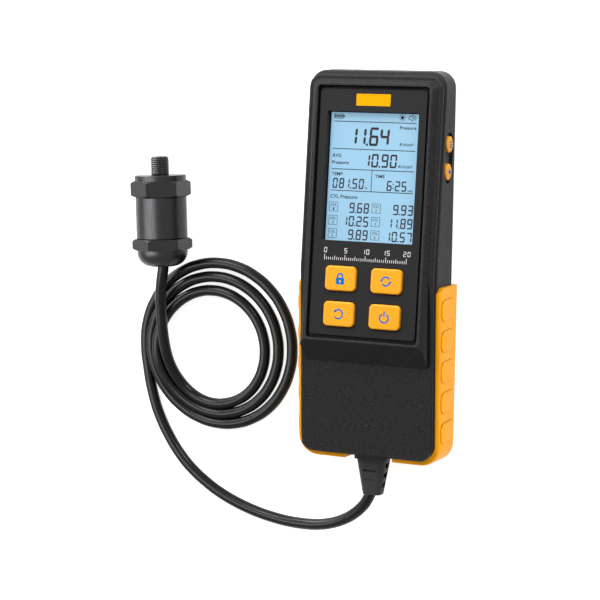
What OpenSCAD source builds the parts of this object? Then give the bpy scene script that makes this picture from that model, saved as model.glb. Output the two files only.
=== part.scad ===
// Handheld digital cylinder pressure gauge with its wired pressure sensor.
// The casing lies on its flat back with the sensor and the coiled cable on its left.
// Millimetres, +Z up, +Y towards the top of the screen, origin under the middle on the surface.

/* [Casing] */
// Length of the casing over the grips
body_len = 200; // [194:1:210]
// Width of the front shell
front_w = 73; // [71:0.5:78]
// How far the rear shell stands out past the front shell on each side
rear_step = 0.8; // [0.4:0.1:1.4]
// How far the rear shell stands out past the front shell at the top end
top_step = 2.3; // [1:0.1:3]
// Height of the front face at its bend, above the back
bend_h = 31; // [30:0.5:34]
// Length of the head from the bend of the front face to the top end
head_run = 102; // [100:0.5:104]
// Fall of the head's face towards the top end
head_slope = 5; // [4:0.25:5.5]
// Fall of the handle's face towards the bottom end
handle_slope = 2.5; // [1.5:0.25:3]
// Corner radius of the front shell seen from the front
corner_r = 7.6; // [6:0.2:9]
// Radius of the casing's back edges
back_r = 6.5; // [4:0.5:7]
// Easing of the front shell's upper edge
front_ease = 1; // [0.4:0.1:1.4]
// Wall thickness of both shells
wall = 2.2; // [1.8:0.1:2.6]
// Depth of the front shell's side below its face
skirt = 2.2; // [1.8:0.1:3]
// Width of the shadow gap between the shells
shadow_gap = 0.8; // [0.4:0.1:1.2]
// Height of the tongue that closes the shadow gap from inside
tongue_h = 2.5; // [1.5:0.1:4]
// Thickness of that tongue
tongue_t = 1.2; // [0.8:0.1:1.6]

/* [Plateau and panel] */
// Width of the raised plateau round the screen, at its rim
plateau_w = 63.8; // [62:0.2:66]
// Length of the plateau's rim
plateau_len = 130.8; // [128:0.2:134]
// Height of the rim above the head's face
plateau_h = 2.2; // [1.8:0.1:3]
// Run of the plateau's sloped flanks
plateau_flank = 2.3; // [1.5:0.1:2.6]
// Run of the wedge below the plateau, down to the handle's face
wedge_run = 11.2; // [9:0.2:13]
// Corner radius of the plateau
plateau_r = 4.4; // [3:0.2:6]
// Width of the rim's flat
rim_w = 1.35; // [1:0.05:1.8]
// Width of the face panel
panel_w = 58; // [57:0.1:58.6]
// Length of the face panel
panel_len = 124.8; // [122:0.2:126]
// Thickness of the face panel
panel_t = 1.2; // [0.8:0.1:1.5]
// Depth of the panel's face below the rim
panel_sink = 1.1; // [0.8:0.1:1.4]
// Centre of the panel above the bend, along the head
panel_y = 30; // [29:0.5:31]

/* [Screen] */
// Width of the screen opening
screen_w = 50; // [48:0.2:51]
// Length of the screen opening
screen_len = 65.6; // [62:0.2:67]
// Centre of the screen above the panel's centre
screen_y = 18.5; // [17:0.1:19]
// Glass margin hidden under the deck on each side
glass_margin = 2.4; // [1.5:0.1:3]
// Thickness of the display glass
glass_t = 2; // [1.6:0.1:2.6]
// Thickness of the backlight block
backlight_t = 3; // [2:0.1:3.2]

/* [Front keys] */
// Width of a front key
key_w = 16.9; // [15:0.1:17.5]
// Height of a front key
key_h = 12.6; // [11:0.1:13]
// Spacing of the key columns
key_pitch_x = 25.1; // [23:0.1:26]
// Spacing of the key rows
key_pitch_y = 18.1; // [17:0.1:19]
// Middle of the key block below the panel's centre
key_block_drop = 42.5; // [42:0.1:43]
// How far a key stands out of the panel
key_proud = 1.5; // [1:0.1:2]
// Corner radius of a key
key_r = 2.4; // [1.5:0.1:3]
// Edge radius of a key
key_edge = 0.7; // [0.3:0.1:1]
// Clearance of a key in its openings
key_clear = 0.35; // [0.25:0.05:0.5]
// Travel of every key
key_travel = 0.8; // [0.5:0.1:1]
// Flange that keeps a key in the casing
key_flange = 1.2; // [0.8:0.1:1.5]

/* [Side keys] */
// Diameter of a side key
side_key_d = 8.2; // [7:0.1:9]
// Spacing of the two side keys
side_key_pitch = 13.8; // [12.5:0.1:15]
// Middle of the side keys above the bend, along the head
side_key_y = 59.9; // [56:0.5:62]
// Depth of the side keys below the head's face
side_key_drop = 11.4; // [11:0.1:12]
// How far a side key stands out of the casing
side_key_proud = 1; // [0.6:0.1:1.4]
// Width of the recess round the side keys
side_recess_w = 10.4; // [10:0.1:11]
// Length of the recess round the side keys
side_recess_len = 25.8; // [24:0.2:28]
// Depth of the recess
side_recess_t = 1.2; // [0.8:0.1:1.4]

/* [Grips] */
// How far the grips stand out of the casing's sides
grip_t = 2.2; // [1.6:0.1:2.8]
// Thickness of the grips round the bottom end
grip_end_t = 3; // [2:0.1:3.4]
// Depth of the grips' front edge below the handle's face
grip_drop = 3.4; // [3.2:0.1:5]
// Top edge of the grips below the bend
grip_top = 6; // [4:0.5:9]
// Gap between the grips at the bottom end
grip_gap = 27; // [24:0.5:30]
// Height of the grips' lower edge above the back
grip_foot = 2.5; // [2:0.1:5]
// Rounding of the grips' edges
grip_edge = 1.6; // [0.8:0.1:1.8]
// Count of raised pads on each grip
pad_count = 5; // [3:1:5]
// Centre of the first pad below the grip's top edge
pad_top = 12; // [10:0.5:16]
// Centre of the last pad above the casing's bottom end
pad_bottom = 16.8; // [15:0.2:20]
// Width of a pad along the grip
pad_w = 10.6; // [6:0.1:11]
// Length of a pad from front to back
pad_len = 16.4; // [10:0.2:17]
// Height of a pad's crown above the grip
pad_t = 0.95; // [0.7:0.05:1.2]
// Fall of a pad from its crown to its edge
pad_crown = 0.6; // [0.3:0.05:0.65]

/* [Boards and cells] */
// Thickness of a circuit board
board_t = 1.6; // [1:0.1:1.8]
// Width of the main board
board_w = 61; // [58:0.5:61.5]
// Diameter of a dry cell
cell_d = 14.5; // [14:0.1:14.6]
// Length of a dry cell
cell_len = 50; // [49:0.1:50.4]
// Count of dry cells
cell_count = 3; // [2:1:3]
// Clearance round loose-fitting inner pieces
inner_clear = 0.25; // [0.15:0.05:0.3]

/* [Screws] */
// Shank diameter of a casing screw
screw_d = 2.9; // [2.5:0.1:3.2]
// Head diameter of a casing screw
screw_head_d = 5.6; // [5:0.1:6]
// Outer diameter of a screw post
post_d = 7.6; // [7:0.1:8]
// Distance of the casing screws from the centre line
screw_x = 28.5; // [27.5:0.1:30]

/* [Strain relief and cable] */
// Diameter of the cable
cable_d = 6; // [5.5:0.1:6.5]
// Height of the strain relief above the back
relief_z = 15; // [14:0.5:16]
// Width of the strain relief's flange
relief_flange_w = 18; // [17:0.2:20]
// Thickness of that flange
relief_flange_t = 2.6; // [2:0.1:3]
// Length of the sleeve beyond the flange
relief_len = 19; // [16:0.5:22]
// Width of the sleeve at the flange
relief_w = 16; // [14:0.2:16.5]
// Width of the sleeve at its tip
relief_tip_w = 10; // [9:0.2:11]

/* [Sensor] */
// Width across the flats of both hexagons
hex_af = 28; // [27.8:0.1:30]
// Diameter of the threaded stud
stud_d = 10; // [8:0.1:12]
// Length of the threaded stud
stud_len = 10; // [8:0.5:14]
// Length of the collar behind the stud
collar_len = 3; // [2:0.1:4]
// Length of the upper hexagon
hex_len = 8.4; // [7:0.1:10]
// Length of the bare barrel
barrel_len = 22.6; // [20:0.1:26]
// Diameter of the barrel
barrel_d = 27.4; // [25:0.1:27.6]
// Length of the lower hexagon
cap_hex_len = 6; // [5:0.1:7]
// Length of the domed end
dome_len = 9; // [8:0.1:10]
// Diameter of the pressure port through the stud
port_d = 4; // [3:0.1:5]
// Wall thickness of the barrel
barrel_wall = 2.4; // [1.8:0.1:3]

/* [Hidden] */
$fn = 48;
hull_fn = 32;

// Where the casing and the sensor lie
device_x = 50;
sensor_x = -74.6;
sensor_y = -7.1;
sensor_turn = 2.4;
sensor_roll = 30;

// Casing
front_half = front_w / 2;
rear_half = front_half + rear_step;
rear_r = corner_r + rear_step;
top_y = body_len / 2;
bottom_y = -body_len / 2 + grip_end_t;
bend_drop = head_run - top_y;
seam = skirt + shadow_gap;
cavity_half = rear_half - wall;
cavity_r = rear_r - wall;
far = 300;

// Height of the front face above the back
function face_z(y) = bend_h
    - (y + bend_drop) * (y > -bend_drop ? tan(head_slope) : -tan(handle_slope));

// Plateau and panel, in the head's frame
rim_half = plateau_w / 2;
rim_y0 = panel_y - plateau_len / 2;
rim_y1 = panel_y + plateau_len / 2;
pocket_half = rim_half - rim_w;
pocket_y0 = rim_y0 + 1;
pocket_y1 = rim_y1 - 1;
panel_top = plateau_h - panel_sink;
panel_bottom = panel_top - panel_t;
deck_bottom = -skirt;
wedge_y = rim_y0 - wedge_run;

// Screen stack and boards, in the head's frame
screen_mid = panel_y + screen_y;
glass_top = deck_bottom - 0.1;
backlight_top = glass_top - glass_t - 0.05;
board_top = backlight_top - backlight_t - 0.05;
board_bottom = board_top - board_t;
board_y0 = -36;
board_y1 = head_run - 18;
board_post_d = 5;
board_post_x = 27;
board_post_ys = [board_y0 + 6, 9];
board_screw_d = 1.9;
board_screw_head = [3.8, 1.4];
board_screw_grip = 3.5;

buzzer_d = 12;
buzzer_h = 5.5;

// Keys
key_block_y = panel_y - key_block_drop;
key_flange_top = deck_bottom - 0.2;
key_flange_t = 1;
key_plunger_d = 4;
switch_top = board_top + 1.8;
key_plunger_bottom = switch_top + key_travel + 0.2;
side_face = rear_half;
side_pad = 3.6;
side_flange_t = 1;
side_flange_x = side_face - side_pad - 0.2;
side_plunger_d = 3;
side_board_x = side_flange_x - side_flange_t - 5.4;
side_switch_h = 2.6;
side_board_len = 27;
side_board_h = 6;
side_plunger_x = side_board_x + board_t + side_switch_h + key_travel + 0.2;

// Grips
grip_half = rear_half + grip_t;
grip_end = bottom_y - grip_end_t;
grip_y1 = -bend_drop - grip_top;
pad_first = grip_top + pad_top;
pad_pitch = (grip_y1 - grip_end - pad_top - pad_bottom) / (pad_count - 1);

// Battery bay, in the casing's frame
cell_gap = 0.5;
bay_half_x = cell_len / 2 + 2.2;
bay_half_y = (cell_count * (cell_d + cell_gap)) / 2 + 1.8;
bay_wall = 1.5;
bay_clear = 15.2;
bay_y = bottom_y + bay_clear + bay_wall + bay_half_y;
bay_h = 17.6;
door_t = 1.4;
door_gap = 0.1;
door_ledge = 1.5;
cell_z = door_gap + door_t + inner_clear + cell_d / 2;
door_screw_y = bay_y + bay_half_y + 4.5;

// Casing screws
screw_inset = [8, 10];
screw_ys = [bottom_y + screw_inset[0], top_y - screw_inset[1]];
counterbore_h = 5;
post_split = 12;
screw_bite = 5;
screw_head_h = 2;
screw_len = post_split + screw_bite - counterbore_h + screw_head_h;

// Sensor
hex_r = hex_af / sqrt(3);
cap_z1 = dome_len + cap_hex_len;
barrel_z1 = cap_z1 + barrel_len;
hex_z1 = barrel_z1 + hex_len;
collar_z1 = hex_z1 + collar_len;
spigot_len = 5;
spigot_d = barrel_d - 2 * barrel_wall;
cell_bore_d = 18;
cell_h = 5;
cell_front = barrel_z1 + 3;
cell_leg_len = 3;
seal_d = 1.6;
seal_z = 5;
seal_len = 6;

// Strain relief and cable
relief_neck_d = 11;
relief_depth = 0.78;
relief_inner_d = relief_neck_d + 4;
relief_inner_t = 2;
tube_sides = 10;

// Colours
black_shell = [0.13, 0.13, 0.14];
panel_grey = [0.2, 0.2, 0.21];
orange = [1, 0.68, 0.18];
screen_blue = [0.66, 0.85, 0.97];
board_green = [0.1, 0.35, 0.2];
steel = [0.7, 0.7, 0.72];
gunmetal = [0.3, 0.3, 0.31];
cable_black = [0.16, 0.16, 0.16];

// Routes of the cable's loose stretches, from the casing and from the sensor
tail_route = [[50, -90, 15], [50, -119, 15], [49, -124.5, 14.6], [46.2, -129.6, 13.2],
    [41.5, -133.8, 11.4], [35.5, -136.8, 9.8], [28, -139, 8], [17, -140.5, 6], [4, -141.5, 4.2],
    [-10, -140.5, 3.2], [-25, -137, 3], [-40, -131.5, 3], [-54, -124, 3], [-66, -114.5, 3],
    [-76, -102.5, 3], [-83, -90, 3], [-86, -82, 3]];
lead_route = [[-74.79, -2.6, 16.17], [-74.56, -8.1, 16.17], [-75, -14, 15.8], [-76.4, -21, 14.6],
    [-77, -29, 13.4], [-77.4, -36.5, 12.5], [-77.6, -45, 11.2], [-77.2, -54, 9.6], [-75, -65, 7.3]];
coil_centre = [-49.4, -50.6];
coil_r0 = 27;
coil_r1 = 49.5;
coil_h = 6.2;
coil_edge = 2.5;

// Frames of the casing, the head's face, the handle's face and the sensor
module at_device() {
    translate([device_x, 0, 0]) children();
}

module on_head() {
    translate([0, -bend_drop, bend_h]) rotate([-head_slope, 0, 0]) children();
}

module on_handle() {
    translate([0, -bend_drop, bend_h]) rotate([handle_slope, 0, 0]) children();
}

module at_head() {
    at_device() on_head() children();
}

module at_sensor() {
    translate([sensor_x, sensor_y, hex_r]) rotate([0, 0, sensor_turn])
        rotate([-90, 0, 0]) rotate([0, 0, sensor_roll]) children();
}

// A disc whose upper edge is rounded, hanging down from z = 0
module puck(r, h, e) {
    arc = [for (a = [0:45:90]) [r - e + e * cos(a), -e + e * sin(a)]];
    rotate_extrude($fn = hull_fn) polygon(concat([[0, -h], [r, -h]], arc, [[0, 0]]));
}

// The same disc standing on z = 0 with its lower edge rounded
module foot_puck(r, h, e) {
    mirror([0, 0, 1]) puck(r, h, e);
}

// Copies at plus and minus x
module both_sides(x) {
    for (s = [-1, 1]) translate([s * x, 0, 0]) children();
}

// Rounded rectangle about the origin, with true arcs
module round_rect(w, h, r) {
    square([w - 2 * r, h], center = true);
    square([w, h - 2 * r], center = true);
    for (sx = [-1, 1], sy = [-1, 1]) translate([sx * (w / 2 - r), sy * (h / 2 - r)]) circle(r);
}

// Rounded bar on the head's frame between two heights
module head_bar(w, len, r, y, z0, z1) {
    translate([0, y, z0]) linear_extrude(z1 - z0) round_rect(w, len, r);
}

// Four pucks along each slope of the bent face, which a hull turns into the casing's front
module roof_pucks(half, r, y0, y1, drop, e, h) {
    run1 = (y1 + bend_drop) / cos(head_slope);
    run0 = (y0 + bend_drop) / cos(handle_slope);
    on_head() both_sides(half - r) for (y = [r, run1 - r]) translate([0, y, -drop]) puck(r, h, e);
    on_handle() both_sides(half - r) for (y = [-r, run0 + r]) translate([0, y, -drop]) puck(r, h, e);
}

// The rear shell's outer form, from the seam to the flat back
module rear_form() {
    hull() {
        roof_pucks(rear_half, rear_r, bottom_y, top_y, seam, 1.2, 3);
        both_sides(rear_half - rear_r) for (y = [bottom_y + rear_r, top_y - rear_r])
            translate([0, y, 0]) foot_puck(rear_r, back_r + 2, back_r);
    }
}

// The room inside the rear shell, open at the seam
module cavity_form() {
    y0 = bottom_y + wall;
    y1 = top_y - wall;
    hull() {
        roof_pucks(cavity_half, cavity_r, y0, y1, skirt, 0.4, 3);
        both_sides(cavity_half - cavity_r) for (y = [y0 + cavity_r, y1 - cavity_r])
            translate([0, y, wall]) foot_puck(cavity_r, back_r, back_r - wall);
    }
}

// Prism across the casing whose outline is drawn in the plane of y and z
module across_casing() {
    translate([-far / 2, 0, 0]) rotate([90, 0, 90]) linear_extrude(far) children();
}

// Layer that follows the bent face between two depths below it
module bent_layer(top, bottom) {
    y0 = -far / 2;
    y1 = far / 2;
    across_casing() polygon([[y0, face_z(y0) - top], [-bend_drop, bend_h - top], [y1, face_z(y1) - top],
        [y1, face_z(y1) - bottom], [-bend_drop, bend_h - bottom], [y0, face_z(y0) - bottom]]);
}

// Rounded bar that rises by a height while its sides draw in by an inset
module tapered(w, len, r, inset, height) {
    linear_extrude(height, slices = 1, scale = [1 - 2 * inset / w, 1 - 2 * inset / len])
        round_rect(w, len, r);
}

// Long block under z = 0 with the front shell's outline, whose long and end edges are eased by planes
module eased_block(y0, y1) {
    len = y1 - y0;
    half = front_w / 2;
    translate([0, (y0 + y1) / 2, 0]) intersection() {
        translate([0, 0, -far / 5]) linear_extrude(far / 5 + 1) round_rect(front_w, len, corner_r);
        rotate([90, 0, 0]) linear_extrude(2 * len, center = true) eased_section(half);
        rotate([90, 0, 90]) linear_extrude(2 * front_w, center = true) eased_section(len / 2);
    }
}

// Section of a block under z = 0 whose two upper corners are cut off
module eased_section(half) {
    polygon([[-half - 1, -far / 2], [half + 1, -far / 2], [half + 1, -front_ease - 1],
        [half - front_ease, 0], [-half + front_ease, 0], [-half - 1, -front_ease - 1]]);
}

// Upright block with a rounded outline, from one end to the other
module casing_block(half, y0, y1, r) {
    translate([0, (y0 + y1) / 2, 0]) linear_extrude(far / 5) round_rect(2 * half, y1 - y0, r);
}

// Raised plateau with sloped flanks and a wedge that runs out on the handle, rooted in the face
module plateau_form() {
    root = 1;
    half = rim_half + plateau_flank;
    y0 = wedge_y - root;
    y1 = rim_y1 + plateau_flank;
    wedge_z = wedge_y * tan(head_slope + handle_slope);
    intersection() {
        across_casing() polygon([[rim_y0, plateau_h], [rim_y1, plateau_h], [y1, 0], [y1, -root],
            [0, -root], [y0, wedge_z - root], [wedge_y, wedge_z]]);
        translate([0, (y0 + y1) / 2, 0]) {
            mirror([0, 0, 1]) linear_extrude(far / 10) round_rect(2 * half, y1 - y0, plateau_r);
            tapered(2 * half, y1 - y0, plateau_r, plateau_flank, plateau_h);
        }
    }
}

// Centres of the four front keys in the head's frame
function key_at(column, row) = [column * key_pitch_x / 2, key_block_y + row * key_pitch_y / 2];

module at_keys() {
    for (column = [-1, 1], row = [-1, 1]) translate(key_at(column, row)) children();
}

// Centres of the two side keys, with the local z axis pointing out of the casing's right side
module at_side_key(place) {
    translate([0, side_key_y + place * side_key_pitch / 2, -side_key_drop]) rotate([0, 90, 0]) children();
}

module at_case_screws() {
    for (y = screw_ys) both_sides(screw_x) translate([0, y, 0]) children();
}

module at_board_posts() {
    for (y = board_post_ys) both_sides(board_post_x) translate([0, y, 0]) children();
}

// Front shell: bent face, plateau, tongue and the posts that carry the board and the screws
module front_shell() {
    color(black_shell) at_device() difference() {
        union() {
            intersection() {
                bent_layer(-1, skirt);
                on_head() eased_block(-far / 2, (head_run - top_step) / cos(head_slope));
                on_handle() eased_block((bottom_y + bend_drop) / cos(handle_slope), far / 2);
            }
            on_head() plateau_form();
            tongue();
            front_posts();
        }
        on_head() front_cuts();
        at_case_screws() translate([0, 0, post_split - 1]) cylinder(d = screw_d + 0.1, h = screw_bite + 1.5);
        relief_room();
        on_head() side_key_wall(inner_clear, side_pad);
    }
}

// Cut that lets the strain relief's inner flange pass the tongue
module relief_room() {
    translate([0, bottom_y + wall, relief_z]) rotate([90, 0, 0])
        cylinder(d = relief_inner_d + 4 * inner_clear, h = 4 * relief_inner_t, center = true);
}

// Thin wall that reaches from the face into the rear shell and closes the shadow gap
module tongue() {
    fit = 0.15;
    half = cavity_half - fit;
    depth = seam + tongue_h;
    y0 = bottom_y + wall + fit + depth * sin(handle_slope);
    y1 = top_y - top_step - wall;
    intersection() {
        bent_layer(skirt / 2, depth);
        difference() {
            casing_block(half, y0, y1, cavity_r - fit);
            casing_block(half - tongue_t, y0 + tongue_t, y1 - tongue_t, cavity_r - fit - tongue_t);
        }
    }
}

// Pocket of the panel, the screen opening, the key openings and the board screws' holes
module front_cuts() {
    head_bar(2 * pocket_half, pocket_y1 - pocket_y0, 2, panel_y, panel_bottom, far);
    head_bar(screen_w, screen_len, 0.6, screen_mid, -far / 20, far);
    at_keys() translate([0, 0, -far / 20]) linear_extrude(far)
        round_rect(key_w + 2 * key_clear, key_h + 2 * key_clear, key_r + key_clear);
    at_board_posts() translate([0, 0, board_top - 1])
        cylinder(d = board_screw_d + 0.1, h = 1 + board_screw_grip + 0.5);
    key_room();
}

// Room for the key flanges under the deck
module key_room() {
    room_w = key_pitch_x + key_w + 2 * key_flange + 2;
    room_len = key_pitch_y + key_h + 2 * key_flange + 2;
    head_bar(room_w, room_len, 1, key_block_y, board_top - 2, deck_bottom + 0.05);
}

// Screw posts that meet the rear shell's posts, and short posts that hold the board
module front_posts() {
    root = 1;
    for (y = screw_ys) both_sides(screw_x) translate([0, y, post_split])
        cylinder(d = post_d, h = face_z(y) + deck_bottom + root - post_split);
    on_head() for (y = board_post_ys) {
        ceiling = deck_bottom + min(0, y * tan(head_slope + handle_slope));
        both_sides(board_post_x) translate([0, y, board_top])
            cylinder(d = board_post_d, h = ceiling + root - board_top);
    }
}

// Rear shell: tub with screw posts, battery bay, side key recess and the cable's hole
module rear_shell() {
    color(black_shell) at_device() difference() {
        union() {
            difference() {
                rear_form();
                cavity_form();
            }
            rear_inside();
        }
        rear_cuts();
    }
}

// Posts, bay walls and the thicker wall behind the side keys, rooted in the shell
module rear_inside() {
    root = wall / 2;
    translate([0, 0, root]) {
        at_case_screws() cylinder(d = post_d, h = post_split - root);
        translate([0, bay_y, 0]) linear_extrude(bay_h) difference() {
            square([2 * (bay_half_x + bay_wall), 2 * (bay_half_y + bay_wall)], center = true);
            square([2 * bay_half_x, 2 * bay_half_y], center = true);
        }
        translate([0, door_screw_y, 0]) cylinder(d = post_d, h = 8);
    }
    on_head() side_key_wall(0, side_pad - root);
}

// Block of the thicker wall behind the side keys, grown by a clearance
module side_key_wall(clear, depth) {
    border = 1;
    translate([side_face, 0, 0]) at_side_key(0) translate([0, 0, -side_pad - clear]) linear_extrude(depth)
        square([side_recess_w + 2 * (border + clear), side_recess_len + 2 * (border + clear)], center = true);
}

module rear_cuts() {
    door_len = 2 * (bay_half_y + door_ledge);
    at_case_screws() {
        translate([0, 0, -1]) cylinder(d = screw_d + 0.3, h = far);
        translate([0, 0, -1]) cylinder(d = screw_head_d + 0.6, h = 1 + counterbore_h);
    }
    translate([0, bay_y, -1]) linear_extrude(far / 3)
        square([2 * bay_half_x - 0.6, 2 * bay_half_y - 0.6], center = true);
    translate([0, bay_y, -1]) linear_extrude(1 + door_gap + door_t)
        round_rect(2 * (bay_half_x + door_ledge) + 2 * inner_clear, door_len + 2 * inner_clear, 2);
    translate([0, door_screw_y, -1]) linear_extrude(1 + door_gap + door_t) round_rect(12, 12, 4);
    translate([0, door_screw_y, -1]) cylinder(d = screw_d + 0.1, h = 9);
    on_head() translate([side_face, 0, 0]) {
        at_side_key(0) translate([0, 0, -side_recess_t]) linear_extrude(far) side_slot();
        for (place = [-1, 1]) at_side_key(place)
            translate([0, 0, -2 * side_pad]) cylinder(d = side_key_d + 2 * key_clear, h = far);
    }
    translate([0, bottom_y, relief_z]) rotate([90, 0, 0])
        cylinder(d = relief_neck_d + 0.2, h = far / 3, center = true);
}

// Racetrack outline of the side key recess, in the side keys' frame
module side_slot() {
    run = side_recess_len - side_recess_w;
    square([side_recess_w, run], center = true);
    for (s = [-1, 1]) translate([0, s * run / 2]) circle(d = side_recess_w);
}

// Grip moulding on one side, wrapped round the bottom corner
module grip(side) {
    intersection() {
        difference() {
            grip_form();
            rear_form();
        }
        grip_reach(side);
    }
    grip_pads(side);
}

module grip_form() {
    r = rear_r + grip_t;
    hull() {
        on_handle() both_sides(grip_half - r)
            for (y = [(grip_end + bend_drop) / cos(handle_slope) + r, -grip_top])
                translate([0, y, -grip_drop]) puck(r, 6, grip_edge);
        both_sides(grip_half - r) for (y = [grip_end + r, grip_y1])
            translate([0, y, grip_foot]) foot_puck(r, 6, grip_edge);
    }
}

// The side's half of the grip, from the top edge to the gap at the bottom end
module grip_reach(side) {
    lead = 4;
    reach = far / 3;
    translate([side * (grip_gap / 2), 0, 0]) mirror([side < 0 ? 1 : 0, 0, 0])
        rotate([90, 0, 90]) linear_extrude(reach)
            polygon([[-reach, -1], [grip_y1, -1], [grip_y1, bend_h - grip_drop - lead],
                [grip_y1 - lead, bend_h - grip_drop + 1], [-reach, bend_h + 1]]);
}

// Raised pads along the grip
module grip_pads(side) {
    mid = -grip_drop - grip_edge - pad_len / 2;
    on_handle() for (i = [0:pad_count - 1])
        translate([side * grip_half, -pad_first - i * pad_pitch, mid]) rotate([0, side * 90, 0]) grip_pad();
}

// One pad, crowned both ways, rooted in the grip below z = 0
module grip_pad() {
    intersection() {
        translate([0, 0, -grip_t / 2]) linear_extrude(grip_t / 2 + 2 * pad_t)
            round_rect(pad_len, pad_w, pad_w / 3);
        crown_bar(pad_w);
        rotate([0, 0, 90]) crown_bar(pad_len);
    }
}

// Bar along x whose round top reaches the pad's height and falls by the crown over a width
module crown_bar(width) {
    r = (width * width / 4 + pad_crown * pad_crown) / (2 * pad_crown);
    translate([0, 0, pad_t - r]) rotate([0, 90, 0]) cylinder(r = r, h = far / 5, center = true, $fn = 192);
}

module left_grip() {
    color(orange) at_device() grip(-1);
}

module right_grip() {
    color(orange) at_device() grip(1);
}

// Face panel with the screen opening and the four key openings
module face_panel() {
    color(panel_grey) at_head() difference() {
        head_bar(panel_w, panel_len, 2, panel_y, panel_bottom, panel_top);
        head_bar(screen_w, screen_len, 0.6, screen_mid, -far, far);
        at_keys() translate([0, 0, -far / 2]) linear_extrude(far)
            round_rect(key_w + 2 * key_clear, key_h + 2 * key_clear, key_r + key_clear);
    }
}

module lcd_glass() {
    color(screen_blue) at_head() head_bar(screen_w + 2 * glass_margin, screen_len + 2 * glass_margin,
        0.5, screen_mid, glass_top - glass_t, glass_top);
}

module lcd_backlight() {
    color("white") at_head() head_bar(screen_w + 2 * glass_margin, screen_len + 2 * glass_margin,
        0.5, screen_mid, backlight_top - backlight_t, backlight_top);
}

module main_board() {
    color(board_green) at_head() difference() {
        head_bar(board_w, board_y1 - board_y0, 1.5, (board_y0 + board_y1) / 2, board_bottom, board_top);
        at_board_posts() translate([0, 0, board_bottom - 1]) cylinder(d = board_screw_d + 0.3, h = 4);
    }
}

module board_screws() {
    color(steel) at_head() at_board_posts() {
        translate([0, 0, board_bottom - board_screw_head[1]])
            cylinder(d = board_screw_head[0], h = board_screw_head[1]);
        translate([0, 0, board_bottom - board_screw_head[1] / 2])
            cylinder(d = board_screw_d, h = board_screw_head[1] / 2 + board_t + board_screw_grip);
    }
}

// One push switch standing on z = 0
module push_switch(h, side) {
    translate([-side / 2, -side / 2, 0]) cube([side, side, h * 0.65]);
    cylinder(d = side * 0.55, h = h);
}

module front_switches() {
    color(steel) at_head() at_keys() translate([0, 0, board_top]) push_switch(switch_top - board_top, 6);
}

module side_board() {
    color(board_green) at_head()
        translate([side_board_x, side_key_y - side_board_len / 2, board_bottom - side_board_h])
            cube([board_t, side_board_len, side_board_h]);
}

module side_switches() {
    color(steel) at_head() translate([side_board_x + board_t, 0, 0]) for (place = [-1, 1])
        at_side_key(place) push_switch(side_switch_h, 3.2);
}

module buzzer() {
    color("dimgray") at_head() translate([-18, board_y1 - 10, board_bottom - buzzer_h]) difference() {
        cylinder(d = buzzer_d, h = buzzer_h);
        translate([0, 0, -1]) cylinder(d = buzzer_d / 6, h = 2);
    }
}

function cell_y(i) = bay_y + (i - (cell_count - 1) / 2) * (cell_d + cell_gap);

// Dry cells lying across the handle, each with its raised contact
module battery_cells() {
    nub = 1;
    color("slategray") at_device() for (i = [0:cell_count - 1]) {
        flip = i % 2 == 0 ? 1 : -1;
        translate([0, cell_y(i), cell_z])
            rotate([0, flip * 90, 0]) translate([0, 0, -cell_len / 2]) {
                cylinder(d = cell_d, h = cell_len - nub);
                cylinder(d = 5.5, h = cell_len);
            }
    }
}

// Contact plates at both ends of the bay
module battery_contacts() {
    plate_t = 0.5;
    plate_h = 10;
    color(steel) at_device() for (i = [0:cell_count - 1], s = [-1, 1]) {
        translate([s * (bay_half_x - plate_t / 2 - 0.05), cell_y(i), cell_z])
            cube([plate_t, 9, plate_h], center = true);
        translate([s * (cell_len / 2 + 0.1), cell_y(i), cell_z])
            rotate([0, s * 90, 0]) cylinder(d1 = 4, d2 = 7, h = bay_half_x - cell_len / 2 - plate_t);
    }
}

// Door over the battery bay, with the screw ear at its upper edge
module battery_door() {
    color(black_shell) at_device() translate([0, 0, door_gap]) difference() {
        union() {
            translate([0, bay_y, 0]) linear_extrude(door_t)
                round_rect(2 * (bay_half_x + door_ledge), 2 * (bay_half_y + door_ledge), 2 - inner_clear);
            translate([0, door_screw_y, 0]) linear_extrude(door_t)
                round_rect(12 - 2 * inner_clear, 12 - 2 * inner_clear, 4 - inner_clear);
        }
        translate([0, door_screw_y, -1]) cylinder(d = screw_d + 0.3, h = 9);
        for (i = [-3:3]) translate([0, bay_y - bay_half_y + 9 + i * 1.8, 0])
            cube([24, 0.8, 0.8], center = true);
    }
}

module machine_screw(len, head_h) {
    difference() {
        union() {
            cylinder(d = screw_head_d, h = head_h);
            cylinder(d = screw_d, h = len);
        }
        for (a = [0, 90]) rotate([0, 0, a]) translate([-1.6, -0.4, -1]) cube([3.2, 0.8, 2]);
    }
}

module door_screw() {
    color(steel) at_device() translate([0, door_screw_y, 2 * door_gap]) difference() {
        cylinder(d = screw_d, h = 7);
        translate([-far / 2, -0.35, -1]) cube([far, 0.7, 2]);
    }
}

module case_screws() {
    color(steel) at_device() at_case_screws()
        translate([0, 0, counterbore_h - screw_head_h]) machine_screw(screw_len, screw_head_h);
}

// Front key: rounded cap, retaining flange and plunger
module front_key(column, row) {
    cap_top = panel_top + key_proud;
    color(orange) at_head() translate(key_at(column, row)) {
        hull() for (sx = [-1, 1], sy = [-1, 1])
            translate([sx * (key_w / 2 - key_r), sy * (key_h / 2 - key_r), cap_top])
                puck(key_r, cap_top - key_flange_top + key_flange_t, key_edge);
        translate([0, 0, key_flange_top - key_flange_t]) linear_extrude(key_flange_t)
            round_rect(key_w + 2 * key_flange, key_h + 2 * key_flange, key_r + key_flange);
        translate([0, 0, key_plunger_bottom])
            cylinder(d = key_plunger_d, h = key_flange_top - key_plunger_bottom);
    }
}

module key_lock() {
    front_key(-1, 1);
}

module key_refresh() {
    front_key(1, 1);
}

module key_undo() {
    front_key(-1, -1);
}

module key_power() {
    front_key(1, -1);
}

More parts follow.
